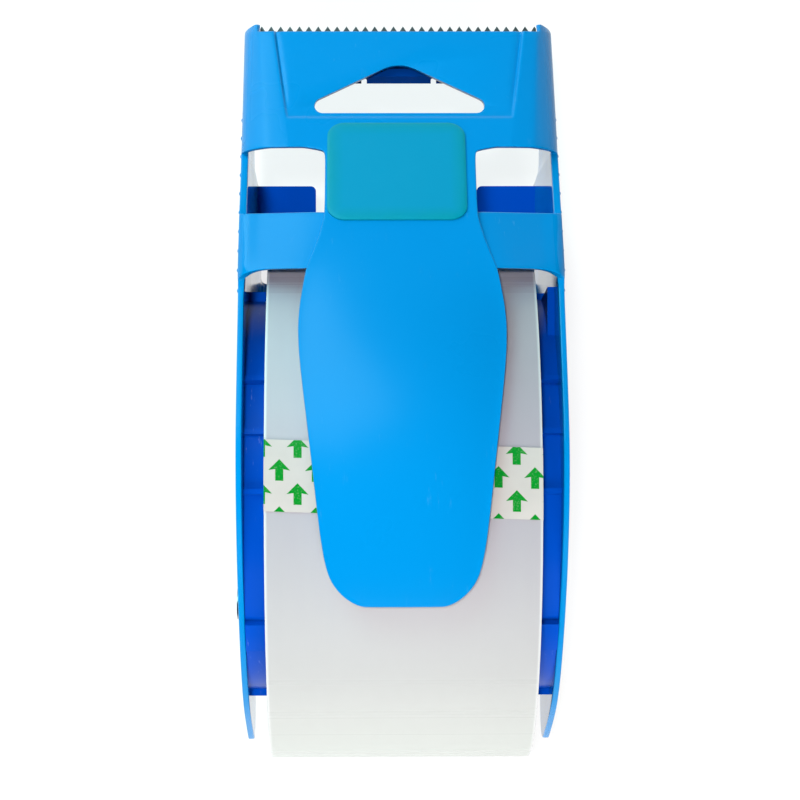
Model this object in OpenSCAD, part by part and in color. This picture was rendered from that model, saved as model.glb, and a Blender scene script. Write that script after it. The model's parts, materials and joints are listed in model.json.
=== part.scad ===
// One-handed packing tape dispenser: a saddle-shaped shell that rides over a full
// roll of tape, with a toothed blade at its nose and a palm grip over the roll.
// The roll turns on two fixed hubs, one on the inside of each side wall.
// X runs across, Y runs forward to the blade, Z is up. The feet stand on Z = 0.

/* [Tape roll] */
// Width of the tape
tape_w = 48; // [40:0.5:52]
// Outer diameter of a full roll
roll_d = 99; // [92:0.5:104]
// Bore of the cardboard core
core_bore = 76.2; // [74:0.2:78]
// Wall thickness of the cardboard core
core_wall = 3; // [2:0.25:4]
// Length of the starting tab round the roll
tab_len = 12.4; // [8:0.2:20]
// Thickness of the starting tab
tab_t = 0.15; // [0.1:0.05:0.3]

/* [Shell] */
// Gap between each edge of the roll and the wall beside it
side_gap = 4; // [3.2:0.1:5]
// Thickness of the side walls
wall_t = 1.2; // [1:0.1:1.8]
// Thickness of the hood, the bands and the grip
roof_t = 2.4; // [1.8:0.1:2.8]
// Gap between the roll and the grip above it
grip_gap = 3.1; // [2.5:0.1:5]
// Distance from the roll axis to the front edge of the hood
reach = 87.2; // [84:0.2:92]
// Height of the hood's front edge above the roll axis
nose_h = 5; // [2:0.5:8]
// Height of the rounded shoulders between the hood and the walls
shoulder_h = 6.6; // [5:0.2:8]
// How far the two ears stand out past the hood's front edge
ear_len = 2.3; // [1.8:0.1:3]
// Width of each ear, measured in from the outside
ear_w = 3; // [2:0.1:4]
// Height of a full roll above the surface that the feet stand on
foot_gap = 2; // [1:0.5:5]
// Width of the flange that each wall stands on
foot_w = 4.2; // [3:0.1:4.6]
// Thickness of that flange
foot_t = 1.2; // [1:0.1:2]

/* [Grip] */
// Width of the grip at its widest place
grip_w = 36.7; // [32:0.1:40]
// Width of the grip where it starts to round off at the back
grip_tail_w = 27.8; // [22:0.1:32]
// Width of the neck between the side windows
neck_w = 27.3; // [25:0.1:30]
// Distance from the roll axis back to the end of the grip
grip_back = 17.6; // [10:0.2:24]
// Corner radius at the end of the grip
grip_corner_r = 7.7; // [4:0.1:10]
// How far the rear band lies below the grip
band_step = 1; // [0.6:0.1:1.6]

/* [Thumb pad] */
// Width of the thumb pad
pad_w = 24.8; // [18:0.1:25.2]
// Length of the thumb pad along the slope
pad_len = 22.8; // [14:0.1:23]
// Corner radius of the thumb pad
pad_r = 3.2; // [1:0.1:5]
// Full thickness of the thumb pad
pad_t = 1.6; // [1.2:0.1:2]
// Depth of the pocket that it is set into
pad_pocket = 0.9; // [0.6:0.1:1.1]

/* [Hubs] */
// Diameter of the hub collars
hub_d = 73.6; // [70:0.2:74]
// How far each hub reaches in from the wall
hub_len = 9; // [6:0.5:14]
// Wall thickness of the hub collar and its plate
hub_t = 2; // [1.5:0.1:3]
// Width of the ribs along the hub collar
hub_rib_w = 1; // [0.8:0.1:1.6]
// Running clearance between the hub ribs and the core
core_clear = 0.1; // [0.05:0.01:0.1]
// Diameter of the circle that the hub screws stand on
screw_circle = 46; // [36:1:56]

/* [Blade and nose] */
// Number of teeth on the blade
teeth = 30; // [20:1:40]
// Depth of the teeth
tooth_h = 1.8; // [1:0.1:2.4]
// Thickness of the blade
blade_t = 0.6; // [0.4:0.05:0.8]
// Depth of the blade from the tooth roots to its back edge
blade_depth = 8.5; // [7:0.5:10]
// How far the tooth tips stand out past the hood, along the slope
tooth_out = 3.4; // [2.8:0.1:3.6]
// Thickness of the nose plate
nose_t = 2; // [1.5:0.1:3]
// Length of the nose plate along the slope
nose_len = 8.8; // [7.6:0.1:11]

/* [Tape guides] */
// How far the guide shelves lie below the roll axis
guide_drop = 28; // [24:1:34]
// Distance from the roll axis to the front edge of the shelves
guide_front = 60.6; // [58:0.2:62]
// Depth of the shelves from front to back
guide_depth = 11.4; // [10.4:0.2:12]
// Distance between the inner ends of the two shelves
guide_between = 32.2; // [24:0.2:40]
// Thickness of the shelves and their flanges
guide_t = 2; // [1.5:0.1:2.5]

/* [Fasteners] */
// Shank diameter of the screws
screw_d = 3; // [2.5:0.1:3.5]
// Head diameter of the screws
screw_head_d = 5.6; // [5:0.1:7]
// Head height of the screws
screw_head_h = 1; // [0.8:0.1:1.4]
// Clearance all round a screw or a stud in its hole
hole_clear = 0.1; // [0.05:0.01:0.2]

/* [Hidden] */
$fn = 96;

shell_blue = [0.02, 0.56, 0.93];
hub_blue = [0.0, 0.24, 0.74];
pad_teal = [0.0, 0.6, 0.76];
steel = [0.42, 0.44, 0.46];

roll_r = roll_d / 2;
core_r = core_bore / 2;
hub_r = hub_d / 2;
wall_in = tape_w / 2 + side_gap;
wall_out = wall_in + wall_t;
crown_r = roll_r + grip_gap + roof_t;
axis_z = roll_r + foot_gap;
nose_tip = reach + ear_len;
// The origin lies halfway between the ear tips and the back of the roll.
axis_y = (roll_r - nose_tip) / 2;

// The hood's slope touches the crown circle of the grip and ends at the nose.
slope = 90 - atan2(nose_h, reach) - acos(crown_r / norm([reach, nose_h]));
bend_y = crown_r * sin(slope);
bend_z = crown_r * cos(slope);
nose_run = sqrt(reach * reach + nose_h * nose_h - crown_r * crown_r);
shoulder_w = 6.2;
// Length of a cutter that passes right through the object
through = axis_z + crown_r;

// Places along Y, from the roll axis
panel_back = 69.6;
window_front = 63.8;
window_back = 51.5;
band_back = 41;
flare_front = 52;
flare_back = 32;
// How far pieces of one moulding run into each other
overlap = 0.6;
blade_half = wall_out - ear_w - 0.1;
ridge_count = 10;
ridge_front = 70;
ridge_back = 37.4;

// Heights over the roll axis at a place along Y
function smooth(t) = let (c = min(max(t, 0), 1)) c * c * (3 - 2 * c);
function roof_z(y) = y < bend_y ? sqrt(crown_r * crown_r - y * y) : bend_z - (y - bend_y) * tan(slope);
function wall_top_z(y) = roof_z(y) - shoulder_h;

// A closed outline with each corner rounded: points are [x, y, corner radius].
function unit(v) = v / norm(v);
function flat2(p) = [p[0], p[1]];
function turn(a) = a > 180 ? a - 360 : a < -180 ? a + 360 : a;
function round_corner(a, p, b, steps) =
    p[2] == 0 ? [flat2(p)] :
    let (u = unit(flat2(a) - flat2(p)), v = unit(flat2(b) - flat2(p)), half = acos(u * v) / 2,
         centre = flat2(p) + unit(u + v) * p[2] / sin(half),
         first = flat2(p) + u * p[2] / tan(half) - centre,
         last = flat2(p) + v * p[2] / tan(half) - centre,
         from = atan2(first[1], first[0]), by = turn(atan2(last[1], last[0]) - from))
    [for (i = [0:steps]) centre + p[2] * [cos(from + by * i / steps), sin(from + by * i / steps)]];
function rounded(pts, steps = 8) = [for (i = [0:len(pts) - 1])
    each round_corner(pts[(i + len(pts) - 1) % len(pts)], pts[i], pts[(i + 1) % len(pts)], steps)];

// Half the width of the grip and its neck at a place along Y
corner_y = grip_corner_r - grip_back;
function grip_half(y) =
    y < corner_y ? grip_tail_w / 2 - grip_corner_r + sqrt(max(0, pow(grip_corner_r, 2) - pow(y - corner_y, 2))) :
    y < flare_back ? grip_tail_w / 2 + (grip_w - grip_tail_w) / 2 * (y - corner_y) / (flare_back - corner_y) :
    neck_w / 2 + (grip_w - neck_w) / 2 * smooth((flare_front - y) / (flare_front - flare_back));

// The grip and its neck in plan
grip_places = concat(
    [for (i = [0:7]) corner_y - grip_corner_r * cos(90 * i / 7)],
    [flare_back],
    [for (i = [1:8]) flare_back + (flare_front - flare_back) * i / 8],
    [window_front + overlap]);
module grip_plan() {
    right = [for (y = grip_places) [grip_half(y), y]];
    polygon(concat(right, [for (i = [len(right) - 1:-1:0]) [-right[i][0], right[i][1]]]));
}

// Section across the hood: flat on top, with a rounded shoulder down to each wall.
// x runs across and y is the height over the hood's outer face.
shoulder_n = shoulder_h * cos(slope);
shoulder_steps = 8;
function shoulder_side(outer, top, low) =
    [for (i = [0:shoulder_steps]) let (a = 90 * i / shoulder_steps)
        [outer - shoulder_w * (1 - cos(a)), low + (top - low) * sin(a)]];
function backwards(pts) = [for (i = [len(pts) - 1:-1:0]) pts[i]];
function mirrored(pts) = [for (p = pts) [-p[0], p[1]]];
module roof_section(top) {
    foot = -shoulder_n - overlap;
    outside = concat([[wall_out, foot]], shoulder_side(wall_out, top, -shoulder_n));
    inside = concat([[wall_in, foot]], shoulder_side(wall_in, top - roof_t, -shoulder_n));
    polygon(concat(outside, backwards(mirrored(outside)), mirrored(inside), backwards(inside)));
}

// Places a flat outline on the hood's slope: its x runs across, its y down to the nose,
// with y = 0 at the front edge and z = 0 on the outer face of the hood.
module on_slope() {
    rotate([-slope, 0, 0])
        translate([0, nose_run, crown_r])
            children();
}
// Runs a section up the slope from the nose, and cuts it off plumb between two places.
module run_up(back, front) {
    intersection() {
        on_slope()
            translate([0, shoulder_h, 0])
                rotate([90, 0, 0])
                    linear_extrude((reach - back) / cos(slope) + 2 * shoulder_h)
                        children();
        translate([-2 * wall_out, back, -through])
            cube([4 * wall_out, front - back, 2 * through]);
    }
}
// The grip: an arc over the roll that runs on into the slope of the neck
module grip() {
    blank_w = grip_w + 4;
    intersection() {
        rotate([-slope, 0, 0]) {
            translate([-blank_w / 2, 0, crown_r - roof_t])
                cube([blank_w, nose_run, roof_t]);
            rotate([0, 90, 0])
                translate([0, 0, -blank_w / 2])
                    rotate([0, 0, 180])
                        rotate_extrude(angle = slope + 30, $fn = 180)
                            translate([crown_r - roof_t, 0])
                                square([roof_t, blank_w]);
        }
        linear_extrude(through) grip_plan();
    }
}
module on_axis() {
    translate([0, axis_y, axis_z]) children();
}
// Lays a shape that is drawn in Y and Z against the inside of one wall.
module side_plate(inner, outer) {
    translate([inner, 0, 0])
        rotate([90, 0, 90])
            linear_extrude(outer - inner) children();
}
module both_sides() {
    children();
    mirror([1, 0, 0]) children();
}

// Side wall, drawn in Y and Z from the roll axis
tail_r = 6.5;
tail_bottom = -21;
arc_r = 71;
arc_y = 22;
arc_z = -25;
function arc_pts(cy, cz, r, from, to, steps) =
    [for (i = [0:steps]) let (a = from + (to - from) * i / steps) [cy + r * cos(a), cz + r * sin(a)]];

// The outline of a wall: tail, crown, straight run under the bands, nose, belly and foot
tip_z = -14.6;
tip_y = arc_y - sqrt(pow(arc_r - tail_r, 2) - pow(tip_z - arc_z, 2));
tip_turn = 180 - atan2(tip_z - arc_z, arc_y - tip_y);
hump_r = 20;
hump_from = 108;
hump_to = 65;
hump_y = arc_y + (arc_r - hump_r) * cos(hump_from);
hump_z = arc_z + (arc_r - hump_r) * sin(hump_from);
hump_end_y = hump_y + hump_r * cos(hump_to);
hump_end_z = hump_z + hump_r * sin(hump_to);
foot_z = -axis_z;
foot_back = -27;
foot_front = 42;
function hump_line(y) = hump_end_z - (y - hump_end_y) * tan(90 - hump_to);
nose_drop = 10;
belly_front = guide_front + 1.4;
chin_z = -21;

module wall_outline() {
    tail = arc_pts(tip_y, tip_z, tail_r, 270, tip_turn, 8);
    back = arc_pts(arc_y, arc_z, arc_r, tip_turn, hump_from, 24);
    hump = arc_pts(hump_y, hump_z, hump_r, hump_from, hump_to, 6);
    front = rounded([
        [band_back, wall_top_z(band_back), 0],
        [nose_tip, wall_top_z(nose_tip), 0],
        [nose_tip, wall_top_z(nose_tip) - nose_drop, 2],
        [belly_front + 11, chin_z, 6],
        [belly_front, chin_z, 3],
        [belly_front - 1.5, foot_z, 15],
        [foot_back, foot_z, 10],
        [tip_y + 10, -tail_r + tip_z, 11]]);
    polygon(concat(tail, back, hump, [[band_back, hump_line(band_back)]], front));
}

module ridges() {
    pitch = (ridge_front - ridge_back) / (ridge_count - 1);
    for (i = [0:ridge_count - 1]) {
        y = ridge_back + pitch * i;
        low = chin_z + 6;
        translate([wall_out - 0.5, y, low])
            cylinder(r = 0.8, h = wall_top_z(y) - 2.5 - low, $fn = 24);
    }
}

// Openings in the roof
peak_y = 80.9;
peak_r = 6.5;
peak_base_y = 70.5;
peak_base_half = 20.4;
peak_base_r = 1.5;
module peaked_window() {
    linear_extrude(through)
        polygon(rounded([[0, peak_y, peak_r],
                         [-peak_base_half, peak_base_y, peak_base_r],
                         [peak_base_half, peak_base_y, peak_base_r]]));
}
module side_window() {
    linear_extrude(through)
        polygon(rounded([[neck_w / 2, window_front, 2.1],
                         [wall_in, window_front, 3],
                         [wall_in, window_back, 0.6],
                         [neck_w / 2, window_back, 0]]));
}
panel_depth = 0.7;
panel_front_half = 23.4;
panel_back_half = 21.1;
module hood_panel() {
    back = (reach - panel_back) / cos(slope);
    on_slope()
        translate([0, 0, -panel_depth])
            linear_extrude(5)
                polygon(rounded([[-panel_front_half, 5, 0],
                                 [panel_front_half, 5, 0],
                                 [panel_back_half, -back, 1.5],
                                 [-panel_back_half, -back, 1.5]]));
}
module pad_outline(grow = 0) {
    w = pad_w / 2 + grow;
    l = pad_len / 2 + grow;
    polygon(rounded([[-w, -l, pad_r + grow],
                     [w, -l, pad_r + grow],
                     [w, l, pad_r + grow],
                     [-w, l, pad_r + grow]]));
}
pad_middle = (window_front + window_back) / 2 + 1.4;
module at_pad() {
    on_slope()
        translate([0, -(reach - pad_middle) / cos(slope), 0])
            children();
}

// The blade and the nose plate hang from two studs on the underside of the hood.
stud_r = 1.5;
stud_head_r = 2.6;
stud_head_h = 0.8;
stud_x = 19;
stud_back = 3.6;
module at_studs() {
    on_slope()
        for (x = [-stud_x, stud_x])
            translate([x, -stud_back, -roof_t])
                children();
}
module stud() {
    deep = blade_t + nose_t + 0.05;
    translate([0, 0, -deep - stud_head_h / 2])
        cylinder(r = stud_r, h = deep + stud_head_h / 2 + overlap);
    translate([0, 0, -deep - stud_head_h])
        cylinder(r = stud_head_r, h = stud_head_h);
}

// The room under the hood that the blade and the nose plate fill
module nose_seat() {
    seat_half = blade_half + hole_clear / 2;
    seat_gap = 0.04;
    seat_deep = blade_t + nose_t + hole_clear;
    on_slope()
        translate([-seat_half, -nose_len - 0.3, -roof_t - seat_deep])
            cube([2 * seat_half, nose_len + 20, seat_deep + seat_gap]);
}

// Screws: three for each hub and two for each guide, driven in from outside the walls
screw_r = screw_d / 2;
hub_screw_angles = [60, 180, 300];
guide_flange = 12;
// The two guide screws stand on a diagonal, so that their heads clear each other.
guide_screw_places = [[guide_front - 0.74 * guide_depth, -guide_drop - 4.8],
                      [guide_front - 0.25 * guide_depth, -guide_drop - 9.2]];
module at_hub_screws() {
    for (a = hub_screw_angles)
        rotate([a, 0, 0])
            translate([wall_out, 0, screw_circle / 2])
                rotate([0, -90, 0])
                    children();
}
module at_guide_screws() {
    for (place = guide_screw_places)
        translate([wall_out, place[0], place[1]])
            rotate([0, -90, 0])
                children();
}
module screw(length) {
    cylinder(r = screw_r, h = length);
    translate([0, 0, -screw_head_h])
        difference() {
            cylinder(r = screw_head_d / 2, h = screw_head_h);
            for (turned = [0, 90])
                rotate([0, 0, turned])
                    translate([-screw_head_d * 0.3, -0.35, -0.5])
                        cube([screw_head_d * 0.6, 0.7, 1]);
        }
}
module screw_hole(length) {
    translate([0, 0, -0.5])
        cylinder(r = screw_r + hole_clear, h = length + 0.5);
}
hub_screw_len = 8;
guide_screw_len = wall_t + guide_t + 1.5;

module top_shell() on_axis() color(shell_blue) {
    at_studs() stud();
    difference() {
        union() {
            run_up(window_front, nose_tip) roof_section(0);
            run_up(band_back, window_back) roof_section(-band_step);
            grip();
            both_sides() {
                side_plate(wall_in, wall_out) wall_outline();
                translate([wall_out - foot_w, foot_back + 10, foot_z])
                    cube([foot_w - wall_t / 2, foot_front - foot_back - 10, foot_t]);
                ridges();
            }
        }
        nose_seat();
        translate([-wall_out + ear_w, reach, -roll_r])
            cube([2 * (wall_out - ear_w), 2 * ear_len, roll_d]);
        hood_panel();
        peaked_window();
        at_pad() translate([0, 0, -pad_pocket]) linear_extrude(5) pad_outline(0.1);
        both_sides() {
            at_hub_screws() screw_hole(wall_t + 1);
            at_guide_screws() screw_hole(wall_t + 1);
        }
    }
}

module thumb_pad() on_axis() color(pad_teal)
    at_pad() translate([0, 0, -pad_pocket]) {
        linear_extrude(pad_t - 0.4) pad_outline();
        translate([0, 0, pad_t - 0.4]) linear_extrude(0.4) pad_outline(-0.4);
    }

// Hub: a plate against the wall, a collar inside the core, ribs that the core turns on
rib_r = core_r - core_clear;
rib_angles = [35, 19, 2.6, -82, -120, 90, 122, 148, 180];
rest_from = 36;
rest_to = 46;
module hub() {
    rotate([0, 90, 0]) {
        difference() {
            translate([0, 0, wall_in - hub_len]) cylinder(r = hub_r, h = hub_len);
            translate([0, 0, wall_in - hub_len - 1]) cylinder(r = hub_r - hub_t, h = hub_len - hub_t + 1);
            translate([0, 0, wall_in - hub_t - 1]) cylinder(r = 9, h = hub_t + 2);
        }
    }
    at_hub_screws()
        translate([0, 0, wall_t])
            cylinder(r = screw_r + 1.7, h = hub_len - 1);
    for (a = rib_angles)
        rotate([-a, 0, 0])
            translate([wall_in - hub_len, -hub_rib_w / 2, hub_r - 1])
                cube([hub_len, hub_rib_w, rib_r - hub_r + 1]);
    // A wider rest behind the top
    rotate([0, 90, 0])
        translate([0, 0, wall_in - hub_len])
            rotate([0, 0, 180 + rest_from])
                rotate_extrude(angle = rest_to - rest_from)
                    translate([hub_r - 1, 0]) square([rib_r - hub_r + 1, hub_len]);
}
lug_w = 3;
lug_t = 1.3;
lug_h = 12;
module hub_with_holes() {
    difference() {
        union() {
            hub();
            children();
        }
        at_hub_screws() screw_hole(hub_screw_len + 0.4);
    }
}
// The left hub has a rounded locating lug in front, the right one a low gusset.
module left_hub() on_axis() color(hub_blue)
    mirror([1, 0, 0]) hub_with_holes() {
        translate([wall_in - lug_w, hub_r - 0.5, -lug_h / 2])
            cube([lug_w, lug_t + 0.5, lug_h]);
    }
module right_hub() on_axis() color(hub_blue)
    hub_with_holes() {
        translate([wall_in - lug_t, 0, 0])
            rotate([90, 0, 90])
                linear_extrude(lug_t)
                    polygon([[hub_r - 8, 4], [hub_r - 0.4, 4], [hub_r + 1.5, 22], [hub_r - 8, 22]]);
    }
module hub_screws() on_axis() color(steel)
    both_sides() at_hub_screws() screw(hub_screw_len);

// Guide: a shelf in front of the roll with a flange down the wall
module guide() {
    shelf_in = guide_between / 2;
    difference() {
        union() {
            translate([0, 0, -guide_drop - guide_t])
                linear_extrude(guide_t)
                    polygon(rounded([[shelf_in, guide_front, 1],
                                     [wall_in, guide_front, 0],
                                     [wall_in, guide_front - guide_depth, 0],
                                     [shelf_in, guide_front - guide_depth, 1]]));
            translate([wall_in - guide_t, guide_front - guide_depth, -guide_drop - guide_flange])
                cube([guide_t, guide_depth, guide_flange]);
            at_guide_screws()
                translate([0, 0, wall_t])
                    cylinder(r = screw_r + 1, h = guide_t + 2);
        }
        at_guide_screws() screw_hole(guide_screw_len + 0.4);
    }
}
module left_guide() on_axis() color(hub_blue) mirror([1, 0, 0]) guide();
module right_guide() on_axis() color(hub_blue) guide();
module guide_screws() on_axis() color(steel)
    both_sides() at_guide_screws() screw(guide_screw_len);

// Blade and nose plate, drawn on the slope
module cutting_blade() on_axis() color(steel) {
    pitch = 2 * (blade_half - 0.3) / (teeth - 1);
    root = tooth_out - tooth_h;
    difference() {
        on_slope()
            translate([0, 0, -roof_t - blade_t])
                linear_extrude(blade_t)
                    intersection() {
                        polygon(concat(
                            [[blade_half + 1, root - blade_depth], [blade_half + 1, root]],
                            [for (i = [0:2 * teeth]) [pitch * (teeth - i) / 2, i % 2 == 0 ? root : root + tooth_h]],
                            [[-blade_half - 1, root], [-blade_half - 1, root - blade_depth]]));
                        translate([-blade_half, root - blade_depth])
                            square([2 * blade_half, blade_depth + tooth_h + 1]);
                    }
        at_studs() translate([0, 0, -5]) cylinder(r = stud_r + hole_clear, h = 6);
    }
}
notch_x = 6.5;
notch_w = 1;
notch_deep = 1.3;
module nose_plate() on_axis() color(hub_blue)
    difference() {
        on_slope()
            translate([0, 0, -roof_t - blade_t - nose_t])
                linear_extrude(nose_t)
                    difference() {
                        translate([-blade_half, -nose_len]) square([2 * blade_half, nose_len - 0.4]);
                        for (x = [-notch_x, notch_x])
                            translate([x, -nose_len]) {
                                translate([-notch_w / 2, -1]) square([notch_w, notch_deep + 0.5]);
                                translate([0, notch_deep - notch_w / 2]) circle(r = notch_w / 2, $fn = 24);
                            }
                    }
        at_studs() translate([0, 0, -5]) cylinder(r = stud_r + hole_clear, h = 6);
    }

// The roll: core, wound tape and starting tab
module ring(r_in, r_out, width)
    rotate([0, 90, 0])
        translate([0, 0, -width / 2])
            difference() {
                cylinder(r = r_out, h = width, $fn = 180);
                translate([0, 0, -1]) cylinder(r = r_in, h = width + 2, $fn = 180);
            }
module tape_core() on_axis() color([0.72, 0.56, 0.38]) ring(core_r, core_r + core_wall, tape_w);
module tape_roll() on_axis() color([0.8, 0.82, 0.84]) ring(core_r + core_wall, roll_r, tape_w);
tab_front = 12;
module start_tab() on_axis() color("white") {
    tab_angle = tab_len / roll_r * 180 / PI;
    rotate([0, 90, 0])
        translate([0, 0, -tape_w / 2])
            rotate([0, 0, 180 - tab_front])
                rotate_extrude(angle = tab_angle, $fn = 180)
                    translate([roll_r, 0]) square([tab_t, tape_w]);
}

top_shell();
thumb_pad();
left_hub();
right_hub();
hub_screws();
left_guide();
right_guide();
guide_screws();
nose_plate();
cutting_blade();
tape_core();
tape_roll();
start_tab();
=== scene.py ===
"""Builds the look of a one-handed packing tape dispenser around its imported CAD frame.

The frame is loaded first. Each operator then makes one piece, or one group of like
pieces, in the frame's own place, and the last one sets the stage, lamps and camera.
"""
import json
import math

import bmesh
import bpy
from bpy.props import FloatProperty, FloatVectorProperty, IntProperty, PointerProperty
from bpy.types import Operator, Panel, PropertyGroup
from mathutils import Matrix, Vector


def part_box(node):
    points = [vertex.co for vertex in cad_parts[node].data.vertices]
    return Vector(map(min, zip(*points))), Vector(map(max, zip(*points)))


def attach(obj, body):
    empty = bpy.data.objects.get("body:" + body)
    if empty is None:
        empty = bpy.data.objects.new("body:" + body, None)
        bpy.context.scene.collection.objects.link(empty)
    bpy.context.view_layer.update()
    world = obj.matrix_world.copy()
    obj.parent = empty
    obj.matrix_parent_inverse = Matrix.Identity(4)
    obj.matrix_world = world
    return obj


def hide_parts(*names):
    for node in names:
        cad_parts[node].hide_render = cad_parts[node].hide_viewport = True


bl_info = {
    "name": "Packing Tape Dispenser",
    "version": (1, 0, 0),
    "blender": (4, 5, 0),
    "location": "View3D > Sidebar > Dispenser",
    "description": "Builds the visible pieces of a one-handed packing tape dispenser",
    "category": "Add Mesh",
}

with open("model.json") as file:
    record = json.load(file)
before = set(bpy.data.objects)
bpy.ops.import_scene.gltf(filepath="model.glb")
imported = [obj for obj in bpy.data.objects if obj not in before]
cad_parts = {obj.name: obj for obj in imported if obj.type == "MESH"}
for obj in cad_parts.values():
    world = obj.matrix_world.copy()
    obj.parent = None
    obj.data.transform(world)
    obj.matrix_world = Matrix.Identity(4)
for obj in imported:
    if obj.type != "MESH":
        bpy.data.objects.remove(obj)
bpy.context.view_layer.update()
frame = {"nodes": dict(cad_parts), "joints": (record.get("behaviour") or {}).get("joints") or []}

MM = 0.001
BODY = "frame"
ROLL = "roll"

# The roll's axis runs across the object at this place, in millimetres.
AXIS_Y, AXIS_Z = (1000 * c for c in frame["joints"][0]["pos_m"][1:])
AXIS = Vector((0, AXIS_Y, AXIS_Z))


def mm(length):
    """A setting in metres as millimetres."""
    return length / MM


def node_box(name):
    """A CAD node's corners in millimetres, with Y and Z counted from the roll's axis."""
    low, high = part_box(name)
    return low * 1000 - AXIS, high * 1000 - AXIS


# ---------------------------------------------------------------- sizes in millimetres
SHELL_HIGH = node_box("top_shell")[1]
ROLL_HIGH = node_box("tape_roll")[1]
NOSE_TIP = SHELL_HIGH.y
CROWN = SHELL_HIGH.z
TAPE_HALF = ROLL_HIGH.x
ROLL_R = ROLL_HIGH.z
WALL_T = 1.2
WALL_IN = node_box("right_hub")[1].x
WALL_OUT = WALL_IN + WALL_T
ROOF_T = 2.4
EAR_W = 3.0
EAR_LEN = 2.3
REACH = NOSE_TIP - EAR_LEN
NOSE_H = 5.0
SHOULDER_H = 6.6
# A shoulder's width at the nose, and how much wider it gets with each step back
SHOULDER_W = 5.6
SHOULDER_GROWS = 0.1455
BAND_STEP = 1.0
SLOPE = math.radians(90) - math.atan2(NOSE_H, REACH) - math.acos(CROWN / math.hypot(REACH, NOSE_H))
BEND_Y = CROWN * math.sin(SLOPE)
BEND_Z = CROWN * math.cos(SLOPE)
NOSE_RUN = math.sqrt(REACH**2 + NOSE_H**2 - CROWN**2)

BAND_BACK = 41.0
BAND_SLANT = 0.33
BAND_SHOULDER = 3.2
WINDOW_BACK = 51.5
WINDOW_FRONT = 63.8
PANEL_BACK = 69.6
# The peaked window's corners: (x, y, radius)
WINDOW_PEAK = (0, 80.9, 6.5)
WINDOW_FOOT = (20.4, 70.5, 1.5)
WINDOW_EASE = 0.28
CUT_LOW = -15
CUT_HIGH = 40
# From where to where the panel's flat faces and the window's rim are looked for
PANEL_SPAN = (71.4, 85)
RIM_SPAN = (70, 82)
RIM_HALF = 17.5
STUD_X = 19
STUD_R = 1.5
STUD_LENGTH = 3.6
# The studs' middle, along the hood and under its face
STUD_AT = (-3.6, -3.2)
RIB_FROM = 37.4
RIB_TO = 70.0
RIB_LOW = -15
PAD_Y = (WINDOW_FRONT + WINDOW_BACK) / 2 + 1.4
PAD_T = 1.6
# Half the pad's width and length
PAD_HALF = (12.55, 11.4)
TAPE_BORE_R = 41.1
# How far the rings of the roll's sides stand back, from the outside in
SIDE_WAVES = (-0.12, -0.02, -0.1, -0.04, -0.12, -0.05, -0.08)
TAB_LENGTH = 12.4
TAB_T = 0.15
# The printed arrows' spacing across and along the tab, and where their first row starts
ARROW_PITCH = (6.27, 8.06)
ARROW_START = (5.625, 3.07)


# ---------------------------------------------------------------- shape helpers
def smooth(t):
    t = min(max(t, 0.0), 1.0)
    return t * t * (3 - 2 * t)


def roof_z(y):
    """Height of the grip's crown line and the hood's slope over the roll's axis."""
    if y < BEND_Y:
        return math.sqrt(CROWN**2 - y * y)
    return BEND_Z - (y - BEND_Y) * math.tan(SLOPE)


def between(y, table):
    """Reads a table of (y, value) pairs with straight lines between them."""
    if y <= table[0][0]:
        return table[0][1]
    for (y0, a), (y1, b) in zip(table, table[1:]):
        if y <= y1:
            return a + (b - a) * (y - y0) / (y1 - y0)
    return table[-1][1]


GRIP_HALF = [(-17.6, 7.0), (-17.1, 8.6), (-15.6, 10.7), (-13.4, 12.5), (-10.5, 13.5), (-6, 14.3),
             (4.2, 15.4), (14.4, 16.6), (22, 17.6), (28, 18.3), (32, 18.35), (36, 17.8), (41, 16.9),
             (45.9, 14.9), (49.3, 13.9), (52, 13.65), (90, 13.65)]


def grip_half(y):
    """Half the width of the palm grip and the neck."""
    return between(y, GRIP_HALF)


def crown_fall(x, y):
    """How far the palm grip falls away to its sides."""
    return x * x / 125 * (1 - smooth((y - 30) / 20))


WALL_TOP = [(-48.2, -13.6), (-47.3, -10.6), (-45.9, -6.6), (-44.3, -2.2), (-40, 9.2), (-35.6, 16.5),
            (-29.3, 24.0), (-21.5, 31.0), (-14, 36.4), (-6.7, 40.3), (0.4, 42.8), (6.4, 43.5), (12, 42.8),
            (17.8, 40.4), (24.8, 37.2), (35.6, 32.1), (39, 30.4)]


def wall_top(y):
    """Height of the line where the walls end or turn into the shoulders."""
    if y < BAND_BACK - 1:
        return between(y, WALL_TOP)
    return roof_z(y) - SHOULDER_H


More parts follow.
